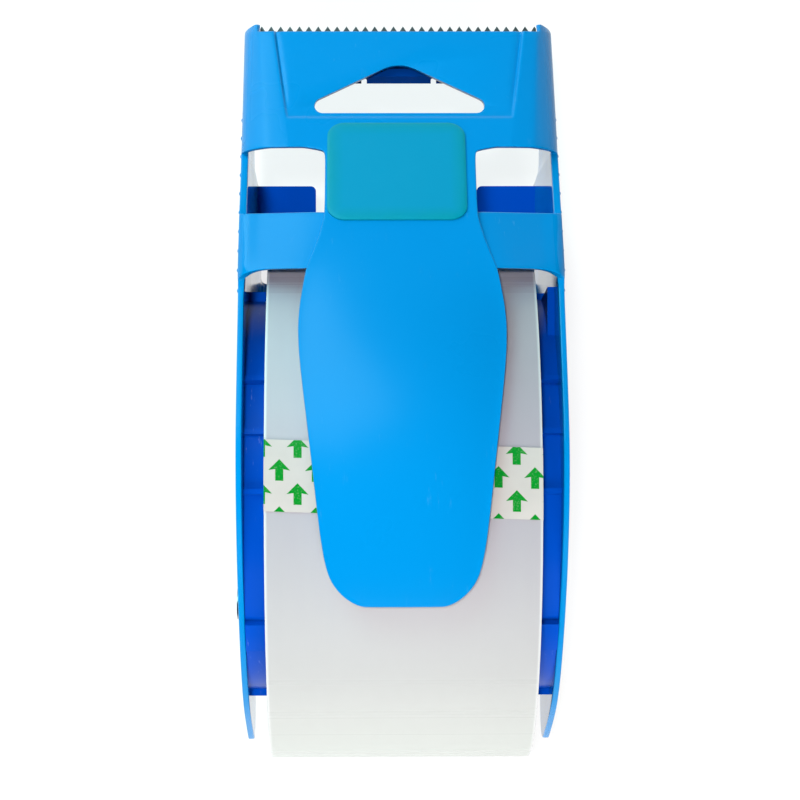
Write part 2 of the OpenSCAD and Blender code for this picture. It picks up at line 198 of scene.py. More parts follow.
# Places along the shell, with the point on the wall's lower edge that each one runs to
SHELL_ROWS = [
    (-48.1, (-48.05, -15.4)), (-47.2, (-47.3, -18.0)), (-44.6, (-45.0, -20.3)),
    (-40, (-41.2, -21.1)), (-35, (-37.0, -22.0)), (-30, (-33.4, -24.6)), (-25, (-30.6, -29.6)),
    (-21, (-29.2, -38.0)), (-17.6, (-27.4, -45.8)), (-17.0, (-24.6, -49.3)),
    (-15.6, (-20.5, -51.2)), (-13.4, (-17.0, -51.5)), (-10.5, (-13.0, -51.5)), (-5, (-7.0, -51.5)),
    (3, (1.0, -51.5)), (11, (10.0, -51.5)), (19, (18.5, -51.5)), (26, (26.0, -51.5)),
    (32, (32.5, -51.5)), (37.5, (38.0, -51.5)), (41, (42.0, -51.5)), (42.0, (44.2, -51.5)),
    (46.2, (48.0, -51.2)), (50.3, (53.7, -49.5)), (51.5, (59.2, -44.0)), (55.2, (61.1, -37.5)),
    (60.1, (61.5, -30.5)), (62.9, (61.8, -26.0)), (63.8, (62.2, -23.6)), (65.4, (63.0, -21.9)),
    (69.1, (66.0, -21.0)), (69.5, (67.6, -21.0)), (69.85, (69.0, -21.0)), (70.1, (70.5, -21.0)),
    (75, (74.0, -20.5)), (80.5, (80.0, -17.7)), (85.7, (85.6, -15.1)), (87.2, (87.0, -14.4)),
    (87.7, (87.8, -13.9)), (88.6, (88.8, -13.0)), (89.5, (89.5, -11.6)),
]
WALL_STEPS = 5
# The column that runs along the edge of the grip and the neck
EDGE_COLUMN = 4
GRIP_BACK = -17.7
# The flange that a wall stands on: its width, and where it starts and ends
FOOT_W = 4.2
FOOT_BACK = -18
FOOT_FRONT = 42.5


def edge_back(x, y):
    """How far the cross edges of the openings curve back where they meet the walls."""
    t = max(0.0, (x - 22) / (WALL_OUT - 22)) ** 3
    if abs(y - WINDOW_FRONT) < 0.01:
        return 0.6 * t
    if abs(y - BAND_BACK) < 0.01:
        return 1.5 * t
    if y > REACH:
        return 1.6 * t * (y - REACH) / EAR_LEN
    return 0.0


def band_columns(y):
    """The rear band at one place: it starts under the grip and slants down to a tight shoulder."""
    g = grip_half(y)
    top = roof_z(y)
    low = top - SHOULDER_H
    flat = top - BAND_STEP
    pts = [(g * s, top - crown_fall(g * s, y), 1.0) for s in (0, 0.36, 0.7)]
    pts += [(g - 0.9, top - crown_fall(g, y), 1.0), (g, top - crown_fall(g, y), 1.0)]
    start = WALL_OUT - BAND_SHOULDER
    for s in (0, 0.3, 0.55, 0.75, 0.9, 0.98):
        x = g - 1.8 + (start - g + 1.8) * s
        pts.append((x, flat - BAND_SLANT * max(0.0, x - g), 1.0))
    drop = flat - BAND_SLANT * (start - g) - low
    for s, share in ((0.38, 0.95), (0.71, 0.85), (0.92, 0.7), (0.985, 0.62), (1.0, 0.6)):
        pts.append((start + s * BAND_SHOULDER, low + drop * math.sqrt(1 - s * s), share))
    return pts


def hood_columns(y, panel_sunk, groove_sunk):
    """The grip, or the hood with its sunk panel, at one place, down to the line where the wall starts."""
    g = grip_half(y)
    top = roof_z(y)
    low = wall_top(y)
    w = SHOULDER_W + (REACH - y) * SHOULDER_GROWS
    panel = y > PANEL_BACK + 0.1
    on_hood = y > WINDOW_FRONT - 0.1
    depth = panel_sunk if panel else 0.0
    sunk = depth / math.cos(SLOPE)
    flat = top if on_hood else top - BAND_STEP
    full = 1 - depth / ROOF_T
    # A groove runs along the panel's two sides.
    groove = groove_sunk if y > PANEL_BACK + 0.6 else depth
    start = WALL_OUT - w
    step = 3.7 if on_hood else 1.0
    pts = [(g * s, top - crown_fall(g * s, y) - sunk, full) for s in (0, 0.36, 0.7)]
    pts.append((g - 0.9, top - crown_fall(g, y) - sunk, full))
    pts.append((g, top - crown_fall(g, y) - sunk, full))
    pts.append((g + step, flat - sunk, full))
    pts.append((g + step + (start - 1.4 - g - step) / 2, flat - sunk, full))
    pts.append((start - 0.95, flat - sunk, full))
    pts.append((start - 0.55, flat - groove / math.cos(SLOPE), 1 - groove / ROOF_T))
    pts.append((start - 0.2, flat, 1.0))
    pts.append((start + 0.15, flat, 1.0))
    drop = flat - low
    for s, share in ((0.42, 0.9), (0.51, 0.84), (0.84, 0.62), (0.97, 0.53), (1.0, 0.5)):
        x = start + s * w if y < REACH - 0.3 or s != 0.51 else WALL_OUT - EAR_W + 0.5
        rise = math.sqrt(max(0.0, 1 - ((x - start) / w) ** 2))
        if s == 0.51 and y > REACH - 0.3:
            share = 0.4
        pts.append((x, low + drop * rise, share))
    return pts


def shell_columns(y, s):
    """Points across the right half of the shell at one place: (x, y, z, thickness share)."""
    if BAND_BACK - 0.1 < y < WINDOW_BACK + 0.1:
        pts = band_columns(y)
    else:
        pts = hood_columns(y, mm(s.panel_sunk), mm(s.groove_sunk))
    if WINDOW_BACK - 0.1 < y < WINDOW_FRONT + 0.1:
        pts[-1] = (*pts[-1][:2], 0.6)
    pts = [(x, y - edge_back(x, y), z, share) for x, z, share in pts]
    if abs(y - WINDOW_FRONT) < 0.01:
        # The window's corner beside the neck is rounded.
        x, at, z, share = pts[4]
        pts[4] = (x + 0.6, at - 0.6, z + 0.6 * math.tan(SLOPE), share)
    return pts


def enter_edit():
    bpy.ops.object.mode_set(mode="EDIT")


def leave_edit():
    bpy.ops.object.mode_set(mode="OBJECT")


def clean_slate():
    """Leaves edit mode and deselects everything."""
    if bpy.context.mode != "OBJECT":
        leave_edit()
    bpy.ops.object.select_all(action="DESELECT")


def only(ob):
    clean_slate()
    ob.select_set(True)
    bpy.context.view_layer.objects.active = ob


def settle(ob, name, angle=0):
    """Names a piece, puts its place into its mesh and smooths its edges below an angle in degrees."""
    only(ob)
    bpy.ops.object.transform_apply(location=True, rotation=True, scale=True)
    ob.name = name
    ob.data.name = name
    if angle:
        bpy.ops.object.shade_smooth_by_angle(angle=math.radians(angle))
    return ob


def apply_modifier(ob, kind, **values):
    """Adds one modifier with its values and applies it."""
    only(ob)
    mod = ob.modifiers.new(kind.lower(), kind)
    for key, value in values.items():
        setattr(mod, key, value)
    bpy.ops.object.modifier_apply(modifier=mod.name)


def pick(ob, kind, test):
    """In edit mode, selects the points, edges or faces that pass a test, and nothing else."""
    bpy.ops.mesh.select_mode(type=kind)
    bpy.ops.mesh.select_all(action="DESELECT")
    bm = bmesh.from_edit_mesh(ob.data)
    for item in {"VERT": bm.verts, "EDGE": bm.edges, "FACE": bm.faces}[kind]:
        if test(item):
            item.select_set(True)
    bm.select_flush_mode()
    bmesh.update_edit_mesh(ob.data)


def close_up():
    """Turns all faces outwards and leaves edit mode."""
    bpy.ops.mesh.select_all(action="SELECT")
    bpy.ops.mesh.normals_make_consistent(inside=False)
    leave_edit()


def face_up(ob):
    """Turns an open sheet over if its highest face looks down."""
    if max(ob.data.polygons, key=lambda p: p.center.z).normal.z < 0:
        ob.data.flip_normals()


def place(x, y, z):
    """A point in metres from millimetres counted from the roll's axis."""
    return Vector((x, y + AXIS_Y, z + AXIS_Z)) * MM


def from_axis(co):
    """Millimetres counted from the roll's axis, for a point in metres."""
    return co / MM - AXIS


def on_slope(x, along, over):
    """A point on the hood: along runs down to the nose from its front edge, over stands on its face."""
    c, s = math.cos(SLOPE), math.sin(SLOPE)
    y, z = NOSE_RUN + along, CROWN + over
    return place(x, y * c + z * s, z * c - y * s)


def join(parts, name, angle):
    """Joins meshes into the first one."""
    clean_slate()
    for ob in parts:
        ob.select_set(True)
    bpy.context.view_layer.objects.active = parts[0]
    bpy.ops.object.join()
    return settle(parts[0], name, angle)


def rounded_outline(corners, steps=8):
    """A closed outline whose corners (x, y, radius) are rounded."""
    out = []
    n = len(corners)
    for i, (x, y, r) in enumerate(corners):
        p = Vector((x, y))
        u = (Vector(corners[i - 1][:2]) - p).normalized()
        v = (Vector(corners[(i + 1) % n][:2]) - p).normalized()
        if r == 0:
            out.append(p)
            continue
        half = math.acos(max(-1, min(1, u.dot(v)))) / 2
        centre = p + (u + v).normalized() * r / math.sin(half)
        a = p + u * r / math.tan(half) - centre
        b = p + v * r / math.tan(half) - centre
        turn = a.angle_signed(b)
        for k in range(steps + 1):
            out.append(centre + Matrix.Rotation(-turn * k / steps, 2) @ a)
    return out


def prism(name, outline, low, high):
    """A closed upright block between two heights, on an outline in millimetres."""
    clean_slate()
    bpy.ops.mesh.primitive_circle_add(vertices=len(outline), radius=MM, fill_type="NGON")
    ob = bpy.context.object
    enter_edit()
    bm = bmesh.from_edit_mesh(ob.data)
    for v, p in zip(bm.verts, outline):
        v.co = place(p.x, p.y, low)
    bmesh.update_edit_mesh(ob.data)
    bpy.ops.mesh.select_all(action="SELECT")
    bpy.ops.mesh.extrude_region_move(TRANSFORM_OT_translate={"value": (0, 0, (high - low) * MM)})
    close_up()
    ob.name = name
    return ob


# ---------------------------------------------------------------- pieces
def ease_rims(ob):
    """Marks the edges between a sheet's faces and its rim, so that only they are bevelled."""
    faces = {}
    for p in ob.data.polygons:
        for key in p.edge_keys:
            faces.setdefault(key, set()).add(p.material_index)
    weights = ob.data.attributes.new("bevel_weight_edge", "FLOAT", "EDGE")
    for e in ob.data.edges:
        weights.data[e.index].value = 1.0 if len(faces.get(e.key, ())) == 2 else 0.0


def build_shell(s):
    """The moulded shell as one sheet of quads, thickened, eased and subdivided."""
    columns = [shell_columns(y, s) for y, foot in SHELL_ROWS]
    half = len(columns[0])
    wall = WALL_STEPS + 1
    across = 2 * (half + wall) - 1
    clean_slate()
    bpy.ops.mesh.primitive_grid_add(x_subdivisions=across - 1, y_subdivisions=len(SHELL_ROWS) - 1, size=0.06)
    ob = bpy.context.object
    mid = half + wall - 1
    shares = []
    enter_edit()
    bm = bmesh.from_edit_mesh(ob.data)
    bm.verts.ensure_lookup_table()
    for i, v in enumerate(bm.verts):
        row, col = divmod(i, across)
        y, (foot_y, foot_z) = SHELL_ROWS[row]
        k = abs(col - mid)
        side = 1 if col >= mid else -1
        if k < half:
            x, at, z, share = columns[row][k]
            v.co = place(side * x, at, z)
        elif k < half + WALL_STEPS:
            t = (k - half + 1) / WALL_STEPS
            x, at, low, share = columns[row][-1]
            v.co = place(side * WALL_OUT, at + (foot_y - at) * t, low + (foot_z - low) * t)
        else:
            share = 0.5
            v.co = place(side * (WALL_OUT - FOOT_W), foot_y, foot_z)
        shares.append(share)
    bmesh.update_edit_mesh(ob.data)
    leave_edit()
    group = ob.vertex_groups.new(name="thickness")
    for i, share in enumerate(shares):
        group.add([i], share, "REPLACE")

    def is_open(f):
        """Tells whether a face lies in a window, behind the grip, before the nose or past a foot."""
        index = [divmod(v.index, across) for v in f.verts]
        row = min(r for r, c in index)
        k = min(abs(c - mid) for r, c in index)
        (y0, foot0), (y1, foot1) = SHELL_ROWS[row:row + 2]
        if k >= half + WALL_STEPS - 1:
            return not (FOOT_BACK < foot0[0] and foot1[0] < FOOT_FRONT)
        if k >= half - 1:
            return False
        in_window = WINDOW_BACK - 0.5 < y0 and y1 < WINDOW_FRONT + 0.5
        beside_grip = k >= EDGE_COLUMN and (y1 < BAND_BACK + 0.5 or in_window)
        grip_edge = k == EDGE_COLUMN and y1 < WINDOW_BACK + 0.5
        before_nose = y0 > REACH - 0.1 and k < half - 4
        return y0 < GRIP_BACK or beside_grip or grip_edge or before_nose

    enter_edit()
    pick(ob, "FACE", is_open)
    bpy.ops.mesh.delete(type="FACE")
    close_up()
    face_up(ob)
    # Two passing slots tell the sheet from its rim while the shell is thickened.
    for slot in ("skin", "rim"):
        ob.data.materials.append(bpy.data.materials.new(slot))
    outer = len(ob.data.vertices)
    apply_modifier(ob, "SOLIDIFY", thickness=ROOF_T * MM, offset=-1, vertex_group="thickness",
                   use_even_offset=False, use_rim=True, material_offset_rim=1)
    # The inner face slides along the slope until every cross edge stands plumb.
    for a, b in zip(ob.data.vertices[:outer], ob.data.vertices[outer:]):
        back = b.co.y - a.co.y
        y, z = from_axis(a.co).yz
        if z > wall_top(y) - 0.1:
            fall = -math.tan(SLOPE) if y > BEND_Y else -y / roof_z(y)
            b.co.y -= back
            b.co.z -= back * fall
    ease_rims(ob)
    apply_modifier(ob, "BEVEL", width=s.rim_ease, segments=1, limit_method="WEIGHT", use_clamp_overlap=True)
    ob.data.materials.clear()
    apply_modifier(ob, "SUBSURF", levels=2, render_levels=2)
    return ob


def cut_window(shell):
    """Cuts the peaked window through the hood and eases its upper rim."""
    x, y, radius = WINDOW_FOOT
    outline = rounded_outline([WINDOW_PEAK, (-x, y, radius), WINDOW_FOOT])
    cutter = prism("window_cutter", outline, CUT_LOW, CUT_HIGH)
    up = Vector((0, math.sin(SLOPE), math.cos(SLOPE)))

    def on_panel(f, side):
        c = from_axis(f.calc_center_median())
        near = abs(c.x) < WINDOW_FOOT[0] and PANEL_SPAN[0] < c.y < PANEL_SPAN[1]
        return near and f.normal.dot(up) * side > 0.9995

    # The panel's flat faces are merged first, so that the cut leaves no slivers.
    only(shell)
    enter_edit()
    for side in (1, -1):
        pick(shell, "FACE", lambda f: on_panel(f, side))
        bpy.ops.mesh.dissolve_limited(angle_limit=math.radians(1.5))
    leave_edit()
    apply_modifier(shell, "BOOLEAN", operation="DIFFERENCE", object=cutter, solver="EXACT")
    bpy.data.objects.remove(cutter)

    def on_rim(e):
        if len(e.link_faces) != 2 or e.calc_face_angle(0) < math.radians(40):
            return False
        c = from_axis((e.verts[0].co + e.verts[1].co) / 2)
        upright = [f for f in e.link_faces if abs(f.normal.z) < 0.05]
        return abs(c.x) < RIM_HALF and RIM_SPAN[0] < c.y < RIM_SPAN[1] and len(upright) == 1

    only(shell)
    enter_edit()
    pick(shell, "EDGE", on_rim)
    bpy.ops.mesh.bevel(offset=WINDOW_EASE * MM, segments=2, affect="EDGES", clamp_overlap=True)
    leave_edit()


def rib_bar(x, y, low, high, radius):
    """A half-sunk upright rib with rounded ends."""
    clean_slate()
    bpy.ops.mesh.primitive_uv_sphere_add(segments=16, ring_count=8, radius=radius * MM, location=(0, 0, 0))
    ob = bpy.context.object
    enter_edit()
    pick(ob, "VERT", lambda v: v.co.z > 1e-7)
    bpy.ops.transform.translate(value=(0, 0, (high - low) * MM))
    leave_edit()
    ob.location = place(x, y, low)
    return settle(ob, "rib")


def stud_body(x):
    """A moulded stud with its flattened head, under the hood."""
    clean_slate()
    bpy.ops.mesh.primitive_cylinder_add(vertices=32, radius=STUD_R * MM, depth=STUD_LENGTH * MM)
    ob = bpy.context.object
    enter_edit()
    pick(ob, "FACE", lambda f: f.normal.z < -0.9)
    bpy.ops.mesh.extrude_region_move()
    bpy.ops.transform.resize(value=(1.73, 1.73, 1))
    bpy.ops.mesh.extrude_region_move(TRANSFORM_OT_translate={"value": (0, 0, -0.45 * MM)})
    bpy.ops.mesh.extrude_region_move(TRANSFORM_OT_translate={"value": (0, 0, -0.35 * MM)})
    bpy.ops.transform.resize(value=(0.72, 0.72, 1))
    leave_edit()
    ob.rotation_euler = (-SLOPE, 0, 0)
    ob.location = on_slope(x, *STUD_AT)
    return settle(ob, "stud")


def make_shell(s):
    """The whole shell: its sheet with the window cut, its ribs and its two studs."""
    shell = build_shell(s)
    cut_window(shell)
    parts = [shell]
    for i in range(s.rib_count):
        y = RIB_FROM + (RIB_TO - RIB_FROM) / max(1, s.rib_count - 1) * i
        for side in (-1, 1):
            middle = side * (WALL_OUT + mm(s.rib_proud - s.rib_radius))
            parts.append(rib_bar(middle, y, RIB_LOW, wall_top(y) - 2.4, mm(s.rib_radius)))
    parts += [stud_body(x) for x in (-STUD_X, STUD_X)]
    return join(parts, "moulded_shell", 32)


def make_thumb_pad(s):
    """A soft pad with a domed top, set into its pocket on the neck."""
    low, high = node_box("thumb_pad")
    half_w = high.x + 0.15
    half_l = (high.y - low.y) / math.cos(SLOPE) / 2 - 0.4
    clean_slate()
    bpy.ops.mesh.primitive_cube_add(size=1, scale=(2 * half_w * MM, 2 * half_l * MM, PAD_T * MM))
    ob = bpy.context.object
    bpy.ops.object.transform_apply(location=True, rotation=True, scale=True)
    enter_edit()
    pick(ob, "EDGE", lambda e: abs(e.verts[0].co.z - e.verts[1].co.z) > MM)
    bpy.ops.mesh.bevel(offset=s.pad_corner, segments=8, affect="EDGES")
    pick(ob, "FACE", lambda f: f.normal.z > 0.9)
    for inset, rise in ((0.1, 0.03), (0.16, 0.08), (0.3, 0.07), (0.8, 0.03), (1.2, 0.01)):
        bpy.ops.mesh.inset(thickness=inset * MM, depth=0)
        bpy.ops.transform.translate(value=(0, 0, rise * MM))
    leave_edit()
    high_z = max(v.co.z for v in ob.data.vertices)
    ob.rotation_euler = (-SLOPE, 0, 0)
    ob.location = on_slope(mm(s.pad_shift), -(REACH - PAD_Y) / math.cos(SLOPE), mm(s.pad_proud - high_z))
    return settle(ob, "thumb_rest", 50)


def make_wound_tape():
    """The wound film: a ring with eased rims and sides that the layers leave slightly uneven."""
    clean_slate()
    bpy.ops.mesh.primitive_cylinder_add(vertices=256, radius=ROLL_R * MM, depth=2 * TAPE_HALF * MM,
                                        end_fill_type="NOTHING", rotation=(0, math.pi / 2, 0))
    ob = bpy.context.object
    bpy.ops.object.transform_apply(location=True, rotation=True, scale=True)
    enter_edit()
    for side in (-1, 1):
        pick(ob, "VERT", lambda v: abs(v.co.x - side * TAPE_HALF * MM) < 1e-6)
        radius = ROLL_R
        last = 0.0
        for step, wave in enumerate(SIDE_WAVES, 1):
            r_new = ROLL_R + (TAPE_BORE_R - ROLL_R) * step / len(SIDE_WAVES)
            bpy.ops.mesh.extrude_region_move()
            k = r_new / radius
            bpy.ops.transform.resize(value=(1, k, k))
            bpy.ops.transform.translate(value=(side * (wave - last) * MM, 0, 0))
            last = wave
            radius = r_new

    def on_bore(v):
        return abs(math.hypot(v.co.y, v.co.z) - TAPE_BORE_R * MM) < 2e-5

    pick(ob, "EDGE", lambda e: all(on_bore(v) for v in e.verts))
    bpy.ops.mesh.bridge_edge_loops()
    close_up()
    apply_modifier(ob, "BEVEL", width=0.18 * MM, segments=2, limit_method="ANGLE",
                   angle_limit=math.radians(60))
    ob.location = place(0, 0, 0)
    return settle(ob, "wound_tape", 35)


def make_start_tab(s):
    """The paper-backed starting tab: a thin sheet laid round the roll, a little askew."""
    length = TAB_LENGTH / ROLL_R
    clean_slate()
    bpy.ops.mesh.primitive_grid_add(x_subdivisions=12, y_subdivisions=16, size=1)
    ob = bpy.context.object
    ob.data.uv_layers[0].name = "tab"
    uv = ob.data.uv_layers["tab"].data
    spots = [v.co.copy() for v in ob.data.vertices]
    for loop in ob.data.loops:
        p = spots[loop.vertex_index]
        uv[loop.index].uv = (p.x * 2 * TAPE_HALF, p.y * TAB_LENGTH)
    enter_edit()
    bm = bmesh.from_edit_mesh(ob.data)
    for v in bm.verts:
        x = v.co.x * 2 * TAPE_HALF
        turn = s.tab_front + (v.co.y - 0.5) * length - s.tab_skew * v.co.x
        r = ROLL_R + TAB_T
        v.co = place(x, r * math.sin(turn), r * math.cos(turn))
    bmesh.update_edit_mesh(ob.data)
    close_up()
    face_up(ob)
    apply_modifier(ob, "SOLIDIFY", thickness=(TAB_T - 0.01) * MM, offset=-1)
    return settle(ob, "starting_tab", 35)


# ---------------------------------------------------------------- finishes
def srgb(r, g, b):
    """A colour from 0 to 255 as it looks, turned into a linear one."""
    out = [c / 255 / 12.92 if c <= 10 else ((c / 255 + 0.055) / 1.055) ** 2.4 for c in (r, g, b)]
    return (*out, 1.0)


class Wiring:
    """Adds nodes to one tree and links them."""

    def __init__(self, tree):
        self.tree = tree
        self.count = 0

    def add(self, kind, **values):
        node = self.tree.nodes.new(kind)
        self.count += 1
        node.location = (-220 * (self.count % 9), -180 * (self.count // 9))
        inputs = values.pop("inputs", {})
        for key, value in values.items():
            setattr(node, key, value)
        return self.fill(node, inputs)

    def feed(self, socket, value):
        if isinstance(value, bpy.types.NodeSocket):
            self.tree.links.new(value, socket)
        else:
            socket.default_value = value

    def fill(self, node, values):
        for key, value in values.items():
            self.feed(node.inputs[key], value)
        return node

    def math(self, operation, a, b=0.0, c=0.0, clamp=False):
        return self.add("ShaderNodeMath", operation=operation, use_clamp=clamp,
                        inputs={0: a, 1: b, 2: c}).outputs[0]

    def plus(self, a, b):
        return self.math("ADD", a, b)

    def minus(self, a, b):
        return self.math("SUBTRACT", a, b)

    def times(self, a, b):
        return self.math("MULTIPLY", a, b)

    def mix(self, factor, a, b):
        return self.add("ShaderNodeMix", data_type="RGBA", inputs={0: factor, 6: a, 7: b}).outputs[2]

    def ramp(self, value, low, high, to_low=0.0, to_high=1.0):
        return self.add("ShaderNodeMapRange", clamp=True,
                        inputs={0: value, 1: low, 2: high, 3: to_low, 4: to_high}).outputs[0]

    def noise(self, vector, scale, detail=3.0, rough=0.55):
        values = {"Vector": vector, "Scale": scale, "Detail": detail, "Roughness": rough}
        return self.add("ShaderNodeTexNoise", inputs=values).outputs["Fac"]

    def split(self, vector):
        return self.add("ShaderNodeSeparateXYZ", inputs={0: vector}).outputs

    def mapped(self, vector, **values):
        return self.add("ShaderNodeMapping", inputs={"Vector": vector, **values}).outputs[0]

    def group(self, name, **values):
        return self.add("ShaderNodeGroup", node_tree=bpy.data.node_groups[name], inputs=values)


def group_tree(name, inputs, outputs):
    """A shader node group with named sockets: (name, kind, default)."""
    tree = bpy.data.node_groups.new(name, "ShaderNodeTree")
    for title, kind, default in inputs:
        socket = tree.interface.new_socket(name=title, in_out="INPUT", socket_type=kind)
        if default is not None:
            socket.default_value = default
    for title, kind in outputs:
        tree.interface.new_socket(name=title, in_out="OUTPUT", socket_type=kind)
    w = Wiring(tree)
    return w, w.add("NodeGroupInput").outputs, w.add("NodeGroupOutput")


def make_moulding_group():
    """Moulded plastic: faint flow marks, fine grain, handling scuffs and a little dust."""
    w, given, out = group_tree(
        "moulded_surface",
        [("Vector", "NodeSocketVector", None), ("Colour", "NodeSocketColor", (0.5, 0.5, 0.5, 1)),
         ("Flow", "NodeSocketFloat", 0.04), ("Scuffs", "NodeSocketFloat", 0.3),
         ("Gloss", "NodeSocketFloat", 0.3)],
        [("Colour", "NodeSocketColor"), ("Roughness", "NodeSocketFloat"), ("Height", "NodeSocketFloat")])
    vector = given["Vector"]
    flow = w.noise(vector, 22.0, 2.0)
    grain = w.noise(vector, 2600.0, 2.0)
    stretched = w.mapped(vector, Scale=(1.0, 0.12, 0.3), Rotation=(0.2, 0.1, 0.5))
    hair = w.noise(stretched, 1400.0, 4.0, 0.7)
    where = w.noise(vector, 48.0, 3.0)
    scuff = w.times(w.ramp(hair, 0.62, 0.7), w.ramp(where, 0.5, 0.66))
    scuff = w.times(scuff, given["Scuffs"])
    tone = w.math("MULTIPLY_ADD", w.minus(flow, 0.5), given["Flow"], 1.0)
    toned = w.add("ShaderNodeVectorMath", operation="SCALE",
                  inputs={0: given["Colour"], "Scale": tone}).outputs[0]
    rough = w.math("MULTIPLY_ADD", w.minus(where, 0.5), 0.12, given["Gloss"])
    height = w.math("MULTIPLY_ADD", grain, 0.5, flow)
    w.fill(out, {"Colour": w.mix(w.times(scuff, 0.25), toned, (0.75, 0.85, 0.95, 1)),
                 "Roughness": w.math("MULTIPLY_ADD", scuff, 0.35, rough, clamp=True),
                 "Height": w.minus(height, w.times(scuff, 0.5))})
    return w.tree


def make_brush_group():
    """Metal drawn one way: fine lines across X, with patches of duller skin."""
    w, given, out = group_tree(
        "drawn_metal",
        [("Vector", "NodeSocketVector", None), ("Colour", "NodeSocketColor", (0.5, 0.5, 0.5, 1)),
         ("Gloss", "NodeSocketFloat", 0.3)],
        [("Colour", "NodeSocketColor"), ("Roughness", "NodeSocketFloat"), ("Height", "NodeSocketFloat")])
    lines = w.mapped(given["Vector"], Scale=(0.04, 1.0, 1.0))
    streak = w.noise(lines, 5200.0, 3.0, 0.7)
    patch = w.noise(given["Vector"], 160.0, 3.0)
    dull = w.ramp(patch, 0.45, 0.7, 0.0, 0.4)
    uneven = w.plus(streak, patch)
    w.fill(out, {"Colour": w.mix(dull, given["Colour"], (0.2, 0.21, 0.23, 1)),
                 "Roughness": w.math("MULTIPLY_ADD", uneven, 0.16, given["Gloss"], clamp=True),
                 "Height": streak})
    return w.tree


def start_material(name):
    """A new material with its shader, the tools to wire it, and the object's own coordinates."""
    material = bpy.data.materials.new(name)
    material.use_nodes = True
    tree = material.node_tree
    tree.nodes.clear()
    w = Wiring(tree)
    shader = w.add("ShaderNodeBsdfPrincipled")
    out = w.add("ShaderNodeOutputMaterial")
    tree.links.new(shader.outputs[0], out.inputs[0])
    where = w.add("ShaderNodeTexCoord").outputs["Object"]
    return material, w, shader, where


def from_roll_axis(w, where):
    """The object's coordinates, turned into ones that start from the roll's axis."""
    return w.mapped(where, Location=(0, -AXIS_Y * MM, -AXIS_Z * MM))


def bump(w, shader, height, strength, distance):
    node = w.add("ShaderNodeBump", inputs={"Height": height, "Strength": strength, "Distance": distance})
    w.feed(shader.inputs["Normal"], node.outputs[0])


def plastic(name, colour, gloss, flow=0.05, scuffs=0.3, shine=0.16, polished=None):
    """Moulded plastic; polished gives the distances from the middle between which it is glossier."""
    material, w, shader, where = start_material(name)
    node = w.group("moulded_surface", Vector=where, Colour=colour, Flow=flow, Scuffs=scuffs, Gloss=gloss)
    rough = node.outputs["Roughness"]
    if polished:
        x = w.math("ABSOLUTE", w.split(where)[0])
        low, high = polished
        inside = w.times(w.math("GREATER_THAN", x, low), w.math("LESS_THAN", x, high))
        rough = w.math("MULTIPLY_ADD", inside, -0.2, rough, clamp=True)
    w.fill(shader, {"Base Color": node.outputs["Colour"], "Roughness": rough, "IOR": 1.45,
                    "Specular IOR Level": shine})
    bump(w, shader, node.outputs["Height"], 0.12, 0.00004)
    material.diffuse_color = colour
    return material


def metal(name, colour, gloss):
    """Drawn or polished metal."""
    material, w, shader, where = start_material(name)
    node = w.group("drawn_metal", Vector=where, Colour=colour, Gloss=gloss)
    w.fill(shader, {"Base Color": node.outputs["Colour"], "Roughness": node.outputs["Roughness"],
                    "Metallic": 1.0})
    bump(w, shader, node.outputs["Height"], 0.2, 0.00002)
    return material


def pad_material(colour, rim, shift):
    """Soft pad: satin skin, a greener band near its rim and a fine moulded grain."""
    material, w, shader, where = start_material("soft_pad")
    turned = w.mapped(where, Rotation=(SLOPE, 0, 0))
    x, y = w.split(turned)[:2]
    centre = Matrix.Rotation(SLOPE, 3, "X") @ on_slope(0, -(REACH - PAD_Y) / math.cos(SLOPE), 0)
    x = w.math("ABSOLUTE", w.minus(x, shift))
    y = w.math("ABSOLUTE", w.minus(y, centre.y))
    edge = w.math("MAXIMUM", w.minus(x, PAD_HALF[0] * MM), w.minus(y, PAD_HALF[1] * MM))
    near = w.ramp(edge, -0.003, -0.0003)
    soft = w.noise(where, 90.0, 2.0)
    near = w.times(near, w.ramp(soft, 0.2, 0.6, 0.6, 1.0))
    w.fill(shader, {"Base Color": w.mix(near, colour, rim),
                    "Roughness": w.ramp(w.noise(where, 700.0, 3.0), 0.3, 0.7, 0.42, 0.52),
                    "Specular IOR Level": 0.12})
    bump(w, shader, w.noise(where, 3800.0, 2.0), 0.25, 0.00005)
    return material


